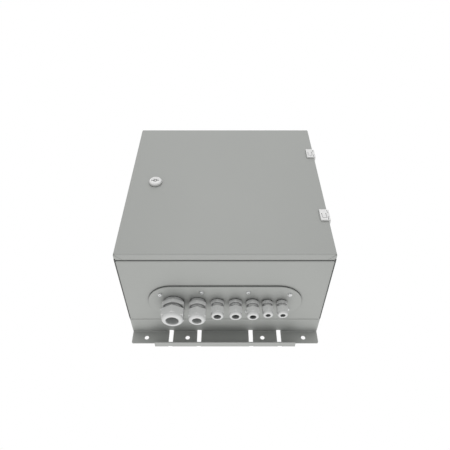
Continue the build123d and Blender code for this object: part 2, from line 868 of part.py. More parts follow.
# Inner mounting plate with its studs, spacers and nuts
def make_mounting_plate():
    half = panel_sheet / 2
    edge = panel_width / 2 - half
    middle_y = panel_front_y + half
    fold_y = panel_front_y + panel_fold
    path = FilletPolyline(
        (-edge, fold_y),
        (-edge, middle_y),
        (edge, middle_y),
        (edge, fold_y),
        radius=panel_sheet,
    )
    plate = extrude(trace(path, panel_sheet), panel_height / 2, both=True)
    for x, z in stud_centres():
        hole = stud_radius + screw_hole_slack
        plate -= rod_y(hole, x, z, panel_front_y - wall, panel_back_y + wall)
    for x, z in rail_screw_centres():
        plate -= rod_y(rail_screw_radius, x, z, panel_front_y - wall, panel_back_y + wall)
    return plate


def make_plate_studs():
    return [rod_y(stud_radius, x, z, inner_back_y - stud_length, inner_back_y) for x, z in stud_centres()]


def make_plate_spacers():
    sleeves = []
    for x, z in stud_centres():
        sleeve = rod_y(spacer_radius, x, z, panel_back_y, inner_back_y)
        sleeves.append(sleeve - rod_y(stud_radius, x, z, panel_front_y, body_back_y))
    return sleeves


def make_plate_nuts():
    nuts = []
    for x, z in stud_centres():
        nut = hex_y(stud_nut_flats, x, z, panel_front_y - stud_nut_height, panel_front_y)
        nuts.append(nut - rod_y(stud_radius, x, z, panel_front_y - 2 * stud_nut_height, panel_back_y))
    return nuts


# Support rails, a top-hat section with slots
def rail_screw_centres():
    reach = rail_slot_pitch * (rail_slot_count - 1) / 2 - rail_slot_pitch / 2
    return [(sign * reach, z) for z in rail_zs for sign in (-1, 1)]


def make_rail(rail_z):
    half = rail_sheet / 2
    back = panel_front_y - half
    front = rail_front_y + half
    brim = rail_height / 2
    web = rail_web / 2 - half
    path = FilletPolyline(
        (front, rail_z - brim),
        (front, rail_z - web),
        (back, rail_z - web),
        (back, rail_z + web),
        (front, rail_z + web),
        (front, rail_z + brim),
        radius=rail_sheet,
    )
    section = Plane.YZ * trace(path, rail_sheet)
    rail = extrude(section, rail_length / 2, both=True)
    first = -rail_slot_pitch * (rail_slot_count - 1) / 2
    slot = Rot(90, 0, 0) * extrude(SlotOverall(rail_slot_length, rail_slot_width), rail_sheet, both=True)
    for step in range(rail_slot_count):
        rail -= Pos(first + step * rail_slot_pitch, back, rail_z) * slot
    for x, z in rail_screw_centres():
        if z == rail_z:
            rail -= rod_y(rail_screw_radius, x, z, back - rail_sheet, back + rail_sheet)
    return rail


def make_rail_screws():
    screws = []
    seat = panel_front_y - rail_sheet
    for x, z in rail_screw_centres():
        head = rod_y(rail_screw_head, x, z, seat - rail_screw_height, seat)
        screws.append(head + rod_y(rail_screw_radius, x, z, seat, panel_back_y))
    return screws


def rail_claws(x0, x1, rail_z):
    """Two hooks that grip the rail's brims from behind."""
    claws = []
    brim = rail_height / 2
    hook_front = rail_front_y + rail_sheet + claw_gap
    hook_back = hook_front + claw_thickness
    for sign in (-1, 1):
        outer = rail_z + sign * (brim + claw_gap + claw_thickness)
        claws.append(block(x0, x1, rail_front_y - wall, hook_back, rail_z + sign * (brim + claw_gap), outer))
        claws.append(block(x0, x1, hook_front, hook_back, rail_z + sign * (brim - claw_thickness / 2), outer))
    return claws


# Heater: a finned extrusion round a heating element, with two caps and a rail foot
def make_heater_profile():
    centre_y = rail_front_y - heater_foot - heater_depth / 2
    with BuildSketch() as section:
        Rectangle(heater_core_width, heater_depth)
        pitch = (heater_depth - heater_fin) / (heater_fin_count - 1)
        for step in range(heater_fin_count):
            with Locations((0, -heater_depth / 2 + heater_fin / 2 + step * pitch)):
                Rectangle(heater_core_width + 2 * heater_fin_reach, heater_fin)
        Rectangle(
            heater_core_width - 2 * heater_core_wall,
            heater_depth - 2 * heater_core_wall,
            mode=Mode.SUBTRACT,
        )
    bar = extrude(section.sketch, heater_length / 2, both=True)
    return Pos(heater_x, centre_y, rail_zs[1]) * bar


def make_heater_element():
    centre_y = rail_front_y - heater_foot - heater_depth / 2
    width = heater_core_width - 2 * heater_core_wall - 2 * heater_element_slack
    depth = heater_depth - 2 * heater_core_wall - 2 * heater_element_slack
    return Pos(heater_x, centre_y, rail_zs[1]) * Box(width, depth, heater_length)


def make_heater_cap(sign):
    centre_y = rail_front_y - heater_foot - heater_depth / 2
    width = heater_core_width + 2 * heater_fin_reach + heater_cap_lap
    depth = heater_depth + heater_cap_lap
    cap = Box(width, depth, heater_cap)
    outer_face = cap.faces().sort_by(Axis.Z)[-1 if sign > 0 else 0]
    cap = fillet(outer_face.edges(), heater_cap_lap)
    for side in (-1, 1):
        for step in range(heater_vents):
            vent_y = (step - (heater_vents - 1) / 2) * heater_vent_pitch
            vent_x = side * (heater_core_width + heater_fin_reach) / 2
            cap -= Pos(vent_x, vent_y, 0) * Box(heater_vent_length, heater_vent_width, 2 * heater_cap)
    z = rail_zs[1] + sign * (heater_length + heater_cap) / 2
    return Pos(heater_x, centre_y, z) * cap


def make_heater_foot():
    half = heater_core_width / 2
    reach = rail_height / 2 + 2 * claw_thickness
    back = rail_front_y
    x0 = heater_x - half
    x1 = heater_x + half
    z = rail_zs[1]
    foot = block(x0, x1, back - heater_foot, back, z - reach, z + reach)
    for claw in rail_claws(x0, x1, z):
        foot += claw
    return foot


# Temperature controller: case and dial
def make_controller_case():
    z = rail_zs[0]
    half = controller_width / 2
    x0 = controller_x - half
    x1 = controller_x + half
    front = rail_front_y - controller_depth
    case = block(x0, x1, front, rail_front_y, z - controller_height / 2, z + controller_height / 2)
    case = fillet(case.faces().sort_by(Axis.Y)[0].edges(), controller_round)
    for claw in rail_claws(x0, x1, z):
        case += claw
    bore = dial_shaft_radius + running_clearance
    dial_z = z - dial_drop
    case -= rod_y(bore, controller_x, dial_z, front - wall, front + dial_shaft_length + dial_gap)
    hole_z = z + controller_height / 2 - controller_hole_inset
    for step in (-1, 0, 1):
        x = controller_x + step * controller_hole_pitch
        case -= rod_y(controller_hole_radius, x, hole_z, front - wall, front + controller_hole_depth)
    return case


def make_controller_dial():
    front = rail_front_y - controller_depth
    z = rail_zs[0] - dial_drop
    base = front - dial_gap
    dial = rod_y(dial_radius, controller_x, z, base - dial_height, base)
    dial = chamfer(dial.edges().sort_by(Axis.Y)[0], dial_chamfer)
    reach = dial_radius + dial_flute_out
    for step in range(dial_flutes):
        angle = radians(360 * (step + 0.5) / dial_flutes)
        x = controller_x + reach * sin(angle)
        flute_z = z + reach * cos(angle)
        dial -= rod_y(dial_flute_radius, x, flute_z, base - 2 * dial_height, base + wall)
    dial -= block(
        controller_x - dial_mark_width / 2,
        controller_x + dial_mark_width / 2,
        base - dial_height,
        base - dial_height + dial_mark_depth,
        z + dial_mark_start,
        z + dial_radius,
    )
    return dial + rod_y(dial_shaft_radius, controller_x, z, base, front + dial_shaft_length)


# Circuit breaker: case and rocking lever
def lever_pivot():
    return rail_front_y - breaker_nose_depth + lever_set_back, rail_zs[0]


def make_breaker_case():
    z = rail_zs[0]
    x0 = breaker_x - breaker_width / 2
    x1 = breaker_x + breaker_width / 2
    body_front = rail_front_y - breaker_depth
    nose_front = rail_front_y - breaker_nose_depth
    case = block(x0, x1, body_front, rail_front_y, z - breaker_height / 2, z + breaker_height / 2)
    case += block(x0, x1, nose_front, body_front, z - breaker_nose_height / 2, z + breaker_nose_height / 2)
    for claw in rail_claws(x0, x1, z):
        case += claw
    pivot_y, pivot_z = lever_pivot()
    pocket = lever_width / 2 + lever_slack
    case -= rod_x(lever_drum + lever_slack, pivot_y, pivot_z, breaker_x - pocket, breaker_x + pocket)
    for sign in (-1, 1):
        screw_z = z + sign * (breaker_height / 2 - breaker_hole_inset)
        case -= rod_y(
            breaker_hole_radius, breaker_x, screw_z, body_front - wall, body_front + breaker_hole_depth
        )
    return case


def make_breaker_lever():
    pivot_y, pivot_z = lever_pivot()
    half = lever_width / 2
    drum = rod_x(lever_drum, pivot_y, pivot_z, breaker_x - half, breaker_x + half)
    toggle = block(-half, half, -lever_reach, 0, -lever_thickness / 2, lever_thickness / 2)
    toggle = fillet(toggle.faces().sort_by(Axis.Y)[0].edges().filter_by(Axis.X), lever_round)
    return drum + Pos(breaker_x, pivot_y, pivot_z) * Rot(-lever_rest_angle, 0, 0) * toggle


# Terminal blocks, the earth terminal and end stops
def make_terminal(x):
    z = rail_zs[0]
    x0 = x - terminal_width / 2
    x1 = x + terminal_width / 2
    front = rail_front_y - terminal_depth
    high = terminal_height / 2
    shape = block(x0, x1, front, rail_front_y, z - high, z + high)
    shape = chamfer(shape.faces().sort_by(Axis.Y)[0].edges().filter_by(Axis.X), terminal_chamfer)
    for claw in rail_claws(x0, x1, z):
        shape += claw
    entry_width, entry_height, entry_depth = terminal_entry
    for sign in (-1, 1):
        screw_z = z + sign * terminal_screw_z
        shape -= rod_y(terminal_screw_radius, x, screw_z, front - wall, front + terminal_screw_depth)
        shape -= block(
            x - entry_width / 2,
            x + entry_width / 2,
            front + entry_depth,
            front + entry_depth + entry_height,
            z + sign * (high - entry_depth),
            z + sign * (high + wall),
        )
    return shape


def terminal_place(step):
    return terminal_x + step * terminal_pitch


def make_terminal_blocks():
    return [make_terminal(terminal_place(step)) for step in range(terminal_count)]


def make_earth_terminal():
    return make_terminal(terminal_place(terminal_count))


def make_end_stops():
    stops = []
    z = rail_zs[0]
    side = (terminal_pitch + stop_width) / 2
    for x in (terminal_place(0) - side, terminal_place(terminal_count) + side):
        x0 = x - stop_width / 2
        x1 = x + stop_width / 2
        front = rail_front_y - stop_depth
        stop = block(x0, x1, front, rail_front_y, z - stop_height / 2, z + stop_height / 2)
        for claw in rail_claws(x0, x1, z):
            stop += claw
        stops.append(stop - rod_y(terminal_screw_radius, x, z, front - wall, front + terminal_screw_depth))
    return stops


def make_body_earth_stud():
    z = -half_height + earth_stud_end_inset
    y = body_front_y + earth_stud_depth
    inner = -half_width + wall
    stud = rod_x(earth_stud_radius, y, z, inner, inner + earth_stud_length)
    return stud + rod_x(2 * earth_stud_radius, y, z, inner, inner + wall)


def make_door_earth_stud():
    x = door_half_width - door_stud_inset
    z = -door_half_height + door_stud_inset
    stud = rod_y(earth_stud_radius, x, z, door_inner_y, door_inner_y + earth_stud_length)
    return stud + rod_y(2 * earth_stud_radius, x, z, door_inner_y, door_inner_y + wall)


lower_bracket = make_lower_bracket()
parts = {
    "enclosure_body": make_enclosure_body(),
    "gland_plate": make_gland_plate(),
    "gland_plate_seal": make_gland_plate_seal(),
    "gland_plate_screws": make_gland_plate_screws(),
    "gland_plate_nuts": make_gland_plate_nuts(),
    "lower_bracket": lower_bracket,
    "upper_bracket": mirror(lower_bracket, Plane.XY),
    "bracket_bolts": make_bracket_bolts(),
    "bracket_bolt_washers": make_bracket_bolt_washers(),
    "bracket_nuts": make_bracket_nuts(),
    "door_panel": make_door_panel(),
    "door_seal": make_door_seal(),
    "hinge_door_leaves": [make_hinge_door_leaf(hinge_z) for hinge_z in hinge_zs],
    "hinge_body_leaves": [make_hinge_body_leaf(hinge_z) for hinge_z in hinge_zs],
    "hinge_pins": make_hinge_pins(),
    "door_hinge_screws": make_door_hinge_screws(),
    "body_hinge_screws": make_body_hinge_screws(),
    "lock_housing": make_lock_housing(),
    "lock_seal": make_lock_seal(),
    "lock_nut": make_lock_nut(),
    "lock_insert": make_lock_insert(),
    "lock_cam": make_lock_cam(),
    "cam_screw": make_cam_screw(),
    "mounting_plate": make_mounting_plate(),
    "plate_studs": make_plate_studs(),
    "plate_spacers": make_plate_spacers(),
    "plate_nuts": make_plate_nuts(),
    "support_rails": [make_rail(rail_z) for rail_z in rail_zs],
    "rail_screws": make_rail_screws(),
    "heater_profile": make_heater_profile(),
    "heater_element": make_heater_element(),
    "heater_caps": [make_heater_cap(sign) for sign in (1, -1)],
    "heater_foot": make_heater_foot(),
    "controller_case": make_controller_case(),
    "controller_dial": make_controller_dial(),
    "breaker_case": make_breaker_case(),
    "breaker_lever": make_breaker_lever(),
    "terminal_blocks": make_terminal_blocks(),
    "earth_terminal": make_earth_terminal(),
    "end_stops": make_end_stops(),
    "body_earth_stud": make_body_earth_stud(),
    "door_earth_stud": make_door_earth_stud(),
}
gland_seals = []
gland_washers = []
gland_locknuts = []
for name, *sizes in gland_list:
    pieces = make_gland(*sizes)
    parts["gland_body_" + name] = pieces["body"]
    parts["gland_cap_" + name] = pieces["cap"]
    gland_seals.append(pieces["seal"])
    gland_washers.append(pieces["washer"])
    gland_locknuts.append(pieces["locknut"])
parts["gland_seals"] = gland_seals
parts["gland_washers"] = gland_washers
parts["gland_locknuts"] = gland_locknuts

os.makedirs("parts", exist_ok=True)
for node, shape in parts.items():
    solids = shape if isinstance(shape, list) else [shape]
    bodies = [solid for piece in solids for solid in piece.solids()]
    whole = bodies[0] if len(bodies) == 1 else Compound(children=bodies)
    export_step(whole, f"parts/{node}.step")
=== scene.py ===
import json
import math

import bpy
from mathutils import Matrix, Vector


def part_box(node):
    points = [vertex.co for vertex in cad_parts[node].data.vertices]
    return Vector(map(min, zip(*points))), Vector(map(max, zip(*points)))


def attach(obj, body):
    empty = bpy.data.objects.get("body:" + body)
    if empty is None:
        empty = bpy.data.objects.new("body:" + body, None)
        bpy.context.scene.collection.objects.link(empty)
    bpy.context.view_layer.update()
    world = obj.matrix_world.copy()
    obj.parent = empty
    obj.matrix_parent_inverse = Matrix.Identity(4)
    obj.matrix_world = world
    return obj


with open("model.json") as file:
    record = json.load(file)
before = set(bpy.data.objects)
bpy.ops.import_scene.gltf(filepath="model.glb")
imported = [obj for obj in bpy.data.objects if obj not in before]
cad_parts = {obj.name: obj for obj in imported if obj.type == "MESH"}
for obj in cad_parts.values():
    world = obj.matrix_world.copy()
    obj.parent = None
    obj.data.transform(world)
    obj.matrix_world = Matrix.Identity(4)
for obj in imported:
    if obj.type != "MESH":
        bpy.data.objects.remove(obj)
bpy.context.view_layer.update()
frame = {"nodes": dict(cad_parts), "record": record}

# %% [markdown]
# A heated enclosure is a painted steel case that hangs on a wall or a mast. Its size and its
# working parts come in ready made from the imported model, and this script gives them their finish.
# Everything is in metres, with Z up, and the door faces -Y.

nodes = frame["nodes"]
MM = 0.001

# %% [markdown]
# Colours are written as the hex values that a paint chart gives. Blender's shaders want linear
# light, so one function turns a hex value into that. The others clear a node tree, add a shader
# node with its settings, fixed values and links, and start a new material, which keeps each
# finish short.

# %% Colours, nodes and new materials
def colour(hex_code):
    """An sRGB hex value as linear red, green, blue and alpha."""
    parts = [int(hex_code[i:i + 2], 16) / 255 for i in (0, 2, 4)]
    linear = [p / 12.92 if p <= 0.04045 else ((p + 0.055) / 1.055) ** 2.4 for p in parts]
    return (*linear, 1.0)


def empty_tree(owner):
    """The cleared node tree of a material or a world."""
    owner.use_nodes = True
    owner.node_tree.nodes.clear()
    return owner.node_tree


def add_node(tree, kind, settings=None, values=None, links=None):
    """A shader node with its settings, its socket values and its incoming links."""
    node = tree.nodes.new(kind)
    for name, value in (settings or {}).items():
        setattr(node, name, value)
    for socket, value in (values or {}).items():
        node.inputs[socket].default_value = value
    for socket, source in (links or {}).items():
        tree.links.new(source, node.inputs[socket])
    return node


def new_finish(name, roughness, metallic=0.0):
    """An empty material: its tree, its shader and the object coordinates every pattern reads."""
    material = bpy.data.materials.new(name)
    tree = empty_tree(material)
    shader = add_node(tree, "ShaderNodeBsdfPrincipled",
                      values={"Roughness": roughness, "Metallic": metallic})
    add_node(tree, "ShaderNodeOutputMaterial", links={"Surface": shader.outputs[0]})
    place = add_node(tree, "ShaderNodeTexCoord").outputs["Object"]
    return material, tree, shader, place


print("white is", colour("ffffff"))

# %% [markdown]
# The finishes share three patterns: a cloudy noise, a blend of two colours, and a fine relief. A
# Mix node keeps sockets for each of its modes, so those of its colour mode are named by their
# numbers.

# %% Patterns
MIX_FACTOR, MIX_A, MIX_B, MIX_RESULT = 0, 6, 7, 2


def noise(tree, place, scale, detail):
    """A cloudy pattern from 0 to 1, with a given number of clouds to the metre."""
    texture = add_node(tree, "ShaderNodeTexNoise", values={"Scale": scale, "Detail": detail},
                       links={"Vector": place})
    return texture.outputs[0]


def blend(tree, factor, first, second):
    """A colour between two others, each a hex value or a socket, by a factor from 0 to 1."""
    values, links = {}, {MIX_FACTOR: factor}
    for socket, source in ((MIX_A, first), (MIX_B, second)):
        if isinstance(source, str):
            values[socket] = colour(source)
        else:
            links[socket] = source
    mix = add_node(tree, "ShaderNodeMix", {"data_type": "RGBA"}, values, links)
    return mix.outputs[MIX_RESULT]


def add_relief(tree, shader, height, strength, depth, normal=None):
    """A bump of a given depth on the shader, on top of another normal where there is one."""
    links = {"Height": height}
    if normal is not None:
        links["Normal"] = normal
    bump = add_node(tree, "ShaderNodeBump", values={"Strength": strength, "Distance": depth},
                    links=links)
    tree.links.new(bump.outputs[0], shader.inputs["Normal"])


print("patterns: noise, blend, relief")

# %% [markdown]
# Painted shade darkens the finishes where less light reaches: in grooves, in bores and where a part
# sits on a sheet. Its tones were chosen so that those places look as deep as in the photograph. An
# Ambient Occlusion node finds them: it gives 1 in the open and less where something stands within
# its reach. Below the first level the painted shade is full, above the second there is none.

# %% Painted shade in sheltered places
SHELTER_SAMPLES = 8
# Painted shade for sheets, metals, glands and inserts: its colour, its reach and its two levels.
SHEET_SHADE = {"shade_hex": "6c6e6c", "reach": 45 * MM, "sheltered": 0.1, "open_air": 0.8}
METAL_SHADE = {"shade_hex": "55575a", "reach": 1.2 * MM, "sheltered": 0.2, "open_air": 0.8}
GLAND_SHADE = {"shade_hex": "4a4c4b", "reach": 15 * MM, "sheltered": 0.15, "open_air": 0.95}
INSERT_SHADE = {"shade_hex": "3c3e3e", "reach": 14 * MM, "sheltered": 0.25, "open_air": 0.85}


def with_painted_shade(tree, clean, shade_hex, reach, sheltered, open_air):
    """The clean colour, blended to a painted shade colour between two levels of shelter."""
    shelter = add_node(tree, "ShaderNodeAmbientOcclusion", {"samples": SHELTER_SAMPLES},
                       {"Distance": reach})
    level = add_node(tree, "ShaderNodeMapRange", links={"Value": shelter.outputs["AO"]},
                     values={"From Min": sheltered, "From Max": open_air})
    return blend(tree, level.outputs[0], shade_hex, clean)


print("dust reaches in metres:", [kind["reach"] for kind in (SHEET_SHADE, METAL_SHADE, GLAND_SHADE)])

# %% [markdown]
# The case, the door and the brackets are sheet steel with a baked powder coat in a light grey.
# The powder melts into a skin with a fine orange peel of about a millimetre, and its colour is
# even, with only a trace of cloudiness. The paint also pulls back into a soft curve along each
# folded edge, which a Bevel node draws on the sharp mesh: a wide one on the case and a tight one
# elsewhere.

# %% Powder coat
PAINT, PAINT_CLOUD = "a6a8a5", "a3a5a2"
PAINT_ROUGHNESS = 0.42
CLOUDS_PER_METRE = 9.0
PEEL_WIDTH = 1.1 * MM
PEEL_DEPTH = 0.05 * MM
PEEL_STRENGTH = 0.25
FOLD_SAMPLES = 4


def powder_coat(name, fold_radius):
    """The light grey powder coat, with its folded edges drawn at a radius."""
    material, tree, shader, place = new_finish(name, PAINT_ROUGHNESS)
    cloud = noise(tree, place, CLOUDS_PER_METRE, detail=3.0)
    # The coat is darkened by painted shade where something stands near it.
    shaded = with_painted_shade(tree, blend(tree, cloud, PAINT, PAINT_CLOUD), **SHEET_SHADE)
    tree.links.new(shaded, shader.inputs["Base Color"])
    peel = noise(tree, place, 1 / PEEL_WIDTH, detail=2.0)
    fold = add_node(tree, "ShaderNodeBevel", {"samples": FOLD_SAMPLES}, {"Radius": fold_radius})
    add_relief(tree, shader, peel, PEEL_STRENGTH, PEEL_DEPTH, fold.outputs[0])
    return material


wide_fold_paint = powder_coat("powder_coat_wide_folds", 3.2 * MM)
tight_fold_paint = powder_coat("powder_coat_tight_folds", 0.8 * MM)
print("finishes:", wide_fold_paint.name, tight_fold_paint.name)

# %% [markdown]
# Screws, bolts and studs are steel with a bright zinc plate, which has a soft shine and a slight
# cloud in its gloss, from handling and the plating bath. The hinges and the lock are taken to be
# castings under a silver lacquer. It scatters more light than bare metal does, so that finish is
# only partly metallic. A drawn or ground surface has its clouds pulled out into lines along Z.

# %% Plated metals
GLOSS_LOW, GLOSS_HIGH = 0.8, 1.3
PLATE_RELIEF = 0.03 * MM


def plated_metal(name, hex_code, second_hex, roughness, cloud_size, line_stretch=1.0, metallic=1.0):
    """Metal of two tones whose gloss clouds; a low line_stretch turns the clouds into lines."""
    material, tree, shader, place = new_finish(name, roughness, metallic)
    stretch = add_node(tree, "ShaderNodeMapping", values={"Scale": (1.0, 1.0, line_stretch)},
                       links={"Vector": place})
    cloud = noise(tree, stretch.outputs[0], 1 / cloud_size, detail=4.0)
    gloss = add_node(tree, "ShaderNodeMapRange", links={"Value": cloud},
                     values={"To Min": roughness * GLOSS_LOW, "To Max": roughness * GLOSS_HIGH})
    tree.links.new(gloss.outputs[0], shader.inputs["Roughness"])
    # The metal is darkened by painted shade where another part stands within about a millimetre.
    shaded = with_painted_shade(tree, blend(tree, cloud, hex_code, second_hex), **METAL_SHADE)
    tree.links.new(shaded, shader.inputs["Base Color"])
    add_relief(tree, shader, cloud, 0.2, PLATE_RELIEF)
    return material


zinc_plate = plated_metal("bright_zinc_plate", "f0f1f2", "e4e5e6", roughness=0.3, cloud_size=2 * MM)
die_casting = plated_metal("silver_lacquered_casting", "e2e2e1", "d8d8d8", roughness=0.4,
                           cloud_size=3 * MM, metallic=0.35)
ground_steel = plated_metal("ground_steel_pin", "c4c4c4", "b8b8b8", roughness=0.22,
                            cloud_size=1 * MM, line_stretch=0.05)
anodised = plated_metal("anodised_extrusion", "c9cbcd", "bfc1c3", roughness=0.4,
                        cloud_size=0.8 * MM, line_stretch=0.02)
print("finishes:", zinc_plate.name, die_casting.name, ground_steel.name, anodised.name)

# %% [markdown]
# The mounting plate and the rails are hot-dip galvanised sheet. Zinc freezes on it in crystals
# some millimetres across, so each cell of a Voronoi pattern has its own grey and its own shine.

# %% Galvanised sheet
CRYSTAL_WIDTH = 7 * MM
CRYSTAL_DARK, CRYSTAL_PALE = "b3b7ba", "cdd0d2"
CRYSTAL_SHINY, CRYSTAL_MATT = 0.3, 0.5


def galvanised(name):
    """Zinc in crystals, each with its own grey and its own shine."""
    material, tree, shader, place = new_finish(name, roughness=0.4, metallic=1.0)
    crystals = add_node(tree, "ShaderNodeTexVoronoi", values={"Scale": 1 / CRYSTAL_WIDTH},
                        links={"Vector": place}).outputs["Color"]
    shine = add_node(tree, "ShaderNodeMapRange", links={"Value": crystals},
                     values={"To Min": CRYSTAL_SHINY, "To Max": CRYSTAL_MATT})
    tree.links.new(shine.outputs[0], shader.inputs["Roughness"])
    grey = blend(tree, crystals, CRYSTAL_DARK, CRYSTAL_PALE)
    tree.links.new(grey, shader.inputs["Base Color"])
    return material


galvanised_sheet = galvanised("galvanised_sheet")
print("finish:", galvanised_sheet.name)

# %% [markdown]
# The plastics are moulded: the glands in a light grey polyamide with a finely eroded skin, the
# apparatus in pale, grey, green or black mouldings. The seals are matt rubber and foam, nearly
# black, and the lock's washer is grey. One function serves them, because they differ in colour,
# shine and the grain of their skin. The glands and their inserts also get painted shade, darker in
# their grooves, bores and hollows.

# %% Mouldings, rubber and foam
RELIEF_STRENGTH = 0.4
FINE_GRAIN, FINE_RELIEF = 0.5 * MM, 0.03 * MM
RUBBER_GRAIN, RUBBER_RELIEF = 0.8 * MM, 0.04 * MM


def moulding(name, hex_code, roughness, grain=FINE_GRAIN, relief=FINE_RELIEF, second_hex=None,
             shading=None):
    """A moulded skin of one or two tones, with a grain, its relief and, where given, painted shade
    in its hollows.
    """
    material, tree, shader, place = new_finish(name, roughness)
    skin = noise(tree, place, 1 / grain, detail=3.0)
    skin_colour = blend(tree, skin, hex_code, second_hex or hex_code)
    # Where given, painted shade darkens the skin in its hollows.
    if shading:
        skin_colour = with_painted_shade(tree, skin_colour, **shading)
    tree.links.new(skin_colour, shader.inputs["Base Color"])
    add_relief(tree, shader, skin, RELIEF_STRENGTH, relief)
    return material


gland_polyamide = moulding("light_grey_polyamide", "d1d2d1", 0.34, 0.6 * MM,
                           second_hex="d6d7d6", shading=GLAND_SHADE)
pale_case = moulding("pale_moulded_case", "d5d5d1", 0.45)
grey_block = moulding("grey_moulded_block", "9da09f", 0.5)
green_block = moulding("green_moulded_block", "3f8f45", 0.5)
black_nylon = moulding("black_moulded_nylon", "26272a", 0.5, relief=0.04 * MM, second_hex="2c2d30")
matt_rubber = moulding("moulded_rubber", "2b2c2c", 0.75, RUBBER_GRAIN, RUBBER_RELIEF, "303131")
grey_rubber = moulding("grey_washer_rubber", "8b8d8c", 0.7, RUBBER_GRAIN, RUBBER_RELIEF, "858786")
insert_rubber = moulding("sealing_insert", "aeb0af", 0.6, RUBBER_GRAIN, RUBBER_RELIEF, "a9abaa",
                         INSERT_SHADE)
foam_bead = moulding("foamed_seal", "3a3b3b", 0.9, 1.2 * MM, 0.2 * MM, "2c2d2d")
ceramic = moulding("heating_stone", "b9a58c", 0.6, 0.8 * MM)
print("materials so far:", len(bpy.data.materials))

# %% [markdown]
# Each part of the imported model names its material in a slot, and a table gives the slot its
# finish. The gland plate and the brackets share the painted slot with the case, but their folds
# are as tight as the door's. The washer under the lock is grey, unlike the black seals that share
# its slot.

# %% Finish of every carried-over part
FINISHES = {
    "painted_body": wide_fold_paint,
    "painted_door": tight_fold_paint,
    "foam_seal": foam_bead,
    "rubber_seal": matt_rubber,
    "gland_rubber": insert_rubber,
    "zinc_screw": zinc_plate,
    "zinc_casting": die_casting,
    "steel_pin": ground_steel,
    "zinc_sheet": galvanised_sheet,
    "heater_aluminium": anodised,
    "heater_ceramic": ceramic,
    "black_plastic": black_nylon,
    "pale_plastic": pale_case,
    "grey_plastic": grey_block,
    "green_plastic": green_block,
    "gland_plastic": gland_polyamide,
}
for entry in frame["record"]["subparts"]:
    part = nodes[entry["node"]]
    part.data.materials.clear()
    part.data.materials.append(FINISHES[entry["material_slot"]])
for name in ("gland_plate", "lower_bracket", "upper_bracket"):
    nodes[name].data.materials[0] = tight_fold_paint
nodes["lock_seal"].data.materials[0] = grey_rubber
print("finished nodes:", len(nodes))

# %% [markdown]
# Where the case's side walls meet its underside, a narrow dark strip paints the shade along the
# rounded edge. A cube is added at the strip's place, scaled to a long bar and bevelled in edit
# mode.
# The same function later makes the marks of the dial, so it can also turn a bar about Y.

# %% Bars with rounded edges
EDGE_SEGMENTS = 2


def rounded_bar(name, centre, size, edge, finish, angle=0):
    """A bar of a size in x, y and z, turned by an angle in degrees, with its edges rounded."""
    bpy.ops.object.select_all(action="DESELECT")
    bpy.ops.mesh.primitive_cube_add(size=1, location=centre, rotation=(0, math.radians(angle), 0))
    bar = bpy.context.object
    bar.name = name
    bar.scale = size
    bpy.ops.object.transform_apply(location=True, rotation=True, scale=True)
    bpy.ops.object.mode_set(mode="EDIT")
    bpy.ops.mesh.select_all(action="SELECT")
    bpy.ops.mesh.bevel(offset=edge, segments=EDGE_SEGMENTS)
    bpy.ops.object.mode_set(mode="OBJECT")
    bar.data.materials.append(finish)
    return bar


print("bar edges have", EDGE_SEGMENTS, "segments")

# %% [markdown]
# The bar lies a little inside the edge of the underside, stops short of its front and back, and
# stands 0.2 mm proud of the sheet.

# %% Painted shade strips along the underside's sides
STRIP_WIDTH = 2.2 * MM
STRIP_INSET = 1.6 * MM
STRIP_HEIGHT = 0.8 * MM
STRIP_PROUD = 0.2 * MM
STRIP_EDGE = 0.15 * MM
STRIP_ENDS = 6 * MM
case_low, case_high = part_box("enclosure_body")
# The strip's dark colour is painted shade along the rounded side edges of the underside.
edge_shade_paint = moulding("edge_shade_paint", "484a48", 0.6, 0.8 * MM, 0.05 * MM, "525452")


def side_shade_strip(name, side):
    """One dark strip of painted shade along the left (-1) or right (1) edge of the underside."""
    edge = case_high.x if side > 0 else case_low.x
    middle = (edge - side * STRIP_INSET, (case_low.y + case_high.y) / 2,
              case_low.z - STRIP_PROUD + STRIP_HEIGHT / 2)
    size = (STRIP_WIDTH, case_high.y - case_low.y - STRIP_ENDS, STRIP_HEIGHT)
    strip = rounded_bar(name, middle, size, STRIP_EDGE, edge_shade_paint)
    bpy.ops.object.shade_smooth_by_angle(angle=math.radians(40))
    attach(strip, "enclosure")
    return strip


for name, side in (("side_shade_strip_left", -1), ("side_shade_strip_right", 1)):
    strip = side_shade_strip(name, side)
    print("piece:", strip.name, len(strip.data.polygons), "faces")

# %% [markdown]
# Between a gland's base and its cap a few turns of the moulded thread show. A real thread is one
# ridge that winds round the barrel, so a small ring of points is stood up beside the axis, and a
# Screw modifier winds it. The ridge's ends are filled, and each gland gets its own, fitted to its
# cap's box.

# %% Threads between base and cap
GLAND_GAPS = {"m32": 7.4, "m25": 7.8, "m20_a": 7.4, "m20_b": 7.4, "m20_c": 7.4,
              "m16_a": 5.5, "m16_b": 5.5}
BARREL_SHARE = 0.42
THREAD_PITCH = 1.8 * MM
RIDGE = 0.65 * MM
RIDGE_SIDES = 6
RIDGE_STEPS = 48


def wound_ridge(name, radius, turns, foot):
    """A ridge wound upwards about Z at a radius, with its first turn's middle at the foot."""
    bpy.ops.object.select_all(action="DESELECT")
    bpy.ops.mesh.primitive_circle_add(vertices=RIDGE_SIDES, radius=RIDGE, location=(radius, 0, 0),
                                      rotation=(math.radians(90), 0, 0))
    ridge = bpy.context.object
    ridge.name = name
    bpy.ops.object.transform_apply(location=True, rotation=True, scale=True)
    winding = ridge.modifiers.new("winding", "SCREW")
    winding.axis = "Z"
    winding.screw_offset = THREAD_PITCH
    winding.iterations = turns
    winding.steps = RIDGE_STEPS
    winding.render_steps = RIDGE_STEPS
    bpy.ops.object.modifier_apply(modifier="winding")
    bpy.ops.transform.translate(value=foot)
    bpy.ops.object.transform_apply(location=True, rotation=True, scale=True)
    return ridge


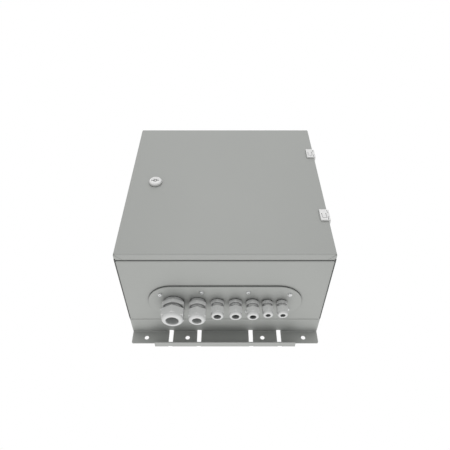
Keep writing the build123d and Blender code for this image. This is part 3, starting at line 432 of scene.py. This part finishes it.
def fill_ends(ridge):
    """The ridge's two open ends closed, with all its faces turned outwards."""
    bpy.ops.object.mode_set(mode="EDIT")
    bpy.ops.mesh.select_all(action="SELECT")
    bpy.ops.mesh.fill_holes(sides=0)
    bpy.ops.mesh.select_all(action="SELECT")
    bpy.ops.mesh.normals_make_consistent(inside=False)
    bpy.ops.object.mode_set(mode="OBJECT")
    bpy.ops.object.shade_smooth_by_angle(angle=math.radians(65))
    ridge.data.materials.clear()
    ridge.data.materials.append(gland_polyamide)


for size, gap_in_mm in GLAND_GAPS.items():
    low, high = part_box("gland_cap_" + size)
    gap = gap_in_mm * MM
    across_flats = min(high.x - low.x, high.y - low.y)
    turns = int((gap - 2 * RIDGE) / THREAD_PITCH)
    foot = ((low.x + high.x) / 2, (low.y + high.y) / 2, high.z + (gap - turns * THREAD_PITCH) / 2)
    ridge = wound_ridge("gland_thread_" + size, across_flats * BARREL_SHARE, turns, foot)
    fill_ends(ridge)
    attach(ridge, "enclosure")
    print("piece:", ridge.name, turns, "turns,", len(ridge.data.polygons), "faces")

# %% [markdown]
# The temperature controller's dial has a white pointer in its moulded groove. Sizes of a mark are
# its width, its depth and its height.

# %% Pointer of the dial
INK_EDGE = 0.04 * MM
INK_GRAIN, INK_RELIEF = 0.3 * MM, 0.01 * MM
POINTER_SIZE = (1.0 * MM, 0.6 * MM, 6.0 * MM)
POINTER_DEPTH = 0.45 * MM
POINTER_REACH = 7.6 * MM
dial_low, dial_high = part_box("controller_dial")
dial_middle = (dial_low + dial_high) / 2
white_ink = moulding("white_ink", "e6e6e2", 0.5, INK_GRAIN, INK_RELIEF, "dededa")

pointer_middle = (dial_middle.x, dial_low.y + POINTER_DEPTH, dial_middle.z + POINTER_REACH)
pointer = rounded_bar("dial_pointer", pointer_middle, POINTER_SIZE, INK_EDGE, white_ink)
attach(pointer, "dial")
print("piece:", pointer.name, len(pointer.data.polygons), "faces")

# %% [markdown]
# The controller's case has a printed scale round the dial, in dark ink. Its eleven marks are
# spread over the dial's turn, and joined to one piece.

# %% Scale round the dial
MARKS = 11
SWEEP = 270
MARK_SIZE = (0.5 * MM, 0.12 * MM, 1.6 * MM)
MARK_CLEARANCE = 1.7 * MM
mark_reach = (dial_high.x - dial_low.x) / 2 + MARK_CLEARANCE
case_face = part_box("controller_case")[0].y
dark_ink = moulding("dark_ink", "3a3b3d", 0.5, INK_GRAIN, INK_RELIEF, "434446")

marks = []
for i in range(MARKS):
    angle = SWEEP * (i / (MARKS - 1) - 0.5)
    turn = math.radians(angle)
    centre = (dial_middle.x + mark_reach * math.sin(turn), case_face,
              dial_middle.z + mark_reach * math.cos(turn))
    marks.append(rounded_bar("scale_mark", centre, MARK_SIZE, INK_EDGE, dark_ink, angle))
bpy.ops.object.select_all(action="DESELECT")
for mark in marks:
    mark.select_set(True)
bpy.context.view_layer.objects.active = marks[0]
bpy.ops.object.join()
scale_marks = bpy.context.object
scale_marks.name = "dial_scale"
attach(scale_marks, "enclosure")
print("piece:", scale_marks.name, len(scale_marks.data.polygons), "faces")

# %% [markdown]
# The photograph looks up at the case from the front, 45 degrees below the horizontal, through a
# 35 mm lens. Its place is measured ahead of the door's face and below the case's middle, at Z =
# 0.

# %% Camera
LENS = 35
SENSOR = 36
LOOKS_UP = 45
CAMERA_AHEAD = 0.5843
CAMERA_BELOW = 0.7095
door_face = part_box("door_panel")[0].y
camera_data = bpy.data.cameras.new("camera")
camera_data.lens = LENS
camera_data.sensor_width = SENSOR
camera = bpy.data.objects.new("camera", camera_data)
camera.location = (0, door_face - CAMERA_AHEAD, -CAMERA_BELOW)
camera.rotation_euler = (math.radians(90 + LOOKS_UP), 0, 0)
bpy.context.scene.collection.objects.link(camera)
bpy.context.scene.camera = camera
print("camera at", [round(v, 4) for v in camera.location])

# %% [markdown]
# The stage is a pale floor far below the case and a white surround, as in a light tent. Cameras,
# reflections and glass see the surround white. For the light that falls on the object both are an
# even soft glow, a little darker towards the two sides. Hollows then go dark by themselves, and
# the background never adds more light than the object needs.

# %% Soft glow
AMBIENT = 0.97
SIDES = 0.35
WHITE = (1, 1, 1, 1)


def seen_directly(tree):
    """1 for the rays that show the background: camera, reflection and glass."""
    ray = add_node(tree, "ShaderNodeLightPath")
    seen = ray.outputs["Is Camera Ray"]
    for kind in ("Is Glossy Ray", "Is Transmission Ray"):
        either = add_node(tree, "ShaderNodeMath", {"operation": "MAXIMUM"},
                          links={0: seen, 1: ray.outputs[kind]})
        seen = either.outputs[0]
    return seen


def side_falloff(tree, position, near, far):
    """The glow's strength, which falls off to the left and right of a direction or a place."""
    place = add_node(tree, "ShaderNodeSeparateXYZ", links={"Vector": position})
    sideways = add_node(tree, "ShaderNodeMath", {"operation": "ABSOLUTE"},
                        links={0: place.outputs["X"]})
    level = add_node(tree, "ShaderNodeMapRange", {"interpolation_type": "SMOOTHSTEP"},
                     links={"Value": sideways.outputs[0]},
                     values={"From Min": near, "From Max": far,
                             "To Min": AMBIENT, "To Max": AMBIENT * SIDES})
    return level.outputs[0]


def either_shader(tree, glow, seen):
    """The glow for the light that falls on the object, and the other shader where it is seen."""
    both = add_node(tree, "ShaderNodeMixShader",
                    links={0: seen_directly(tree), 1: glow.outputs[0], 2: seen.outputs[0]})
    return both.outputs[0]


print("glow from", AMBIENT, "in the middle to", round(AMBIENT * SIDES, 4), "at the sides")

# %% [markdown]
# The floor is a square of matt pale paint. Its glow falls off over metres.

# %% Floor
FLOOR_SIZE = 6
FLOOR_DROP = 1.25
FLOOR_NEAR, FLOOR_FAR = 0.5, 3.0
bpy.ops.object.select_all(action="DESELECT")
bpy.ops.mesh.primitive_plane_add(size=FLOOR_SIZE, location=(0, 0, -FLOOR_DROP))
floor = bpy.context.object
floor.name = "floor"
floor_paint = bpy.data.materials.new("pale_floor")
tree = empty_tree(floor_paint)
place = add_node(tree, "ShaderNodeTexCoord").outputs["Object"]
glow = add_node(tree, "ShaderNodeEmission",
                links={"Strength": side_falloff(tree, place, FLOOR_NEAR, FLOOR_FAR)})
paint = add_node(tree, "ShaderNodeBsdfDiffuse", values={"Color": colour("fafaf8")})
add_node(tree, "ShaderNodeOutputMaterial", links={"Surface": either_shader(tree, glow, paint)})
floor.data.materials.append(floor_paint)
print("floor at", -FLOOR_DROP)

# %% [markdown]
# The surround is the world's background. Its glow falls off with the sideways part of a
# direction, which goes from 0 straight ahead to 1 at the side.

# %% Surround
SKY_NEAR, SKY_FAR = 0.3, 0.95
world = bpy.data.worlds.new("surround")
bpy.context.scene.world = world
sky = empty_tree(world)
direction = add_node(sky, "ShaderNodeTexCoord").outputs["Generated"]
soft = add_node(sky, "ShaderNodeBackground", values={"Color": WHITE},
                links={"Strength": side_falloff(sky, direction, SKY_NEAR, SKY_FAR)})
white = add_node(sky, "ShaderNodeBackground", values={"Color": WHITE, "Strength": 1.0})
add_node(sky, "ShaderNodeOutputWorld", links={"Surface": either_shader(sky, soft, white)})
print("surround:", world.name)

# %% [markdown]
# Two weak area lamps give the light a direction: one is high in front, for the door, and one is
# low and behind the wall's plane, for the underside.

# %% Lamps
def soft_lamp(name, place, target, size, power):
    """A square area lamp at a place, aimed at a target."""
    data = bpy.data.lights.new(name, "AREA")
    data.size = size
    data.energy = power
    lamp = bpy.data.objects.new(name, data)
    lamp.location = place
    lamp.rotation_euler = (Vector(target) - Vector(place)).to_track_quat("-Z", "Y").to_euler()
    bpy.context.scene.collection.objects.link(lamp)
    return lamp


front_box = soft_lamp("front_box", place=(0, -2.4, 1.6), target=(0, -0.25, 0), size=1.2, power=8)
low_box = soft_lamp("low_box", place=(0, 0.35, -1.15), target=(0, -0.1, -0.2), size=0.8, power=2.5)
print("lamps:", front_box.name, low_box.name)

# %% View transform, and the end
bpy.context.scene.view_settings.view_transform = "Standard"
